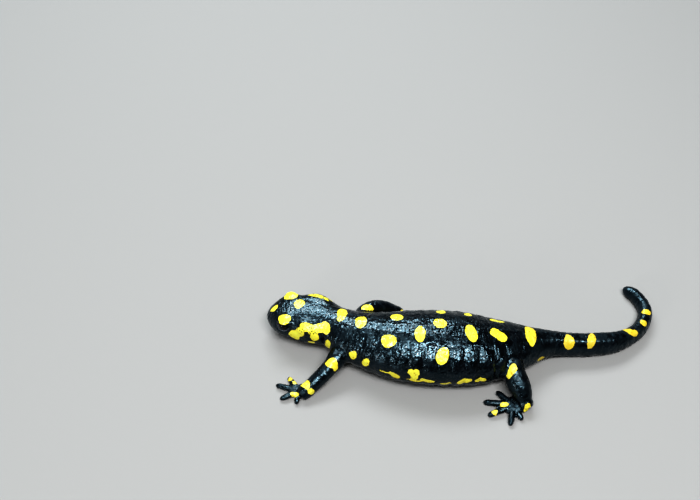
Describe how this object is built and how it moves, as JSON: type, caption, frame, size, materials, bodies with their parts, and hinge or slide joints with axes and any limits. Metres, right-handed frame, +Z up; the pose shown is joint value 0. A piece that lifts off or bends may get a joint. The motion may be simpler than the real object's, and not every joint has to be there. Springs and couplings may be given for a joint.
{
  "type": "fire salamander",
  "caption": "Life-size still model of a stout fire salamander, walking, with its belly, feet and curled tail on the floor.",
  "frame": {"origin": "on the floor under the middle of the belly", "axes": "+X from head to tail, +Y to the animal's right, +Z up"},
  "size_m": [0.1707, 0.0696, 0.0229],
  "materials": {
    "skin": "wet, glossy blue-black skin with lemon-yellow spots",
    "eye": "wet, shining black eyeball"
  },
  "bodies": {
    "root": {"head": "skin", "neck": "skin", "trunk": "skin", "hips": "skin", "tail_base": "skin", "tail_middle": "skin", "tail_bend": "skin", "tail_tip": "skin", "foreleg_left": "skin", "foreleg_right": "skin", "hindleg_left": "skin", "hindleg_right": "skin", "forefoot_left": "skin", "forefoot_right": "skin", "hindfoot_left": "skin", "hindfoot_right": "skin", "eye_left": "eye", "eye_right": "eye"}
  },
  "joints": []
}
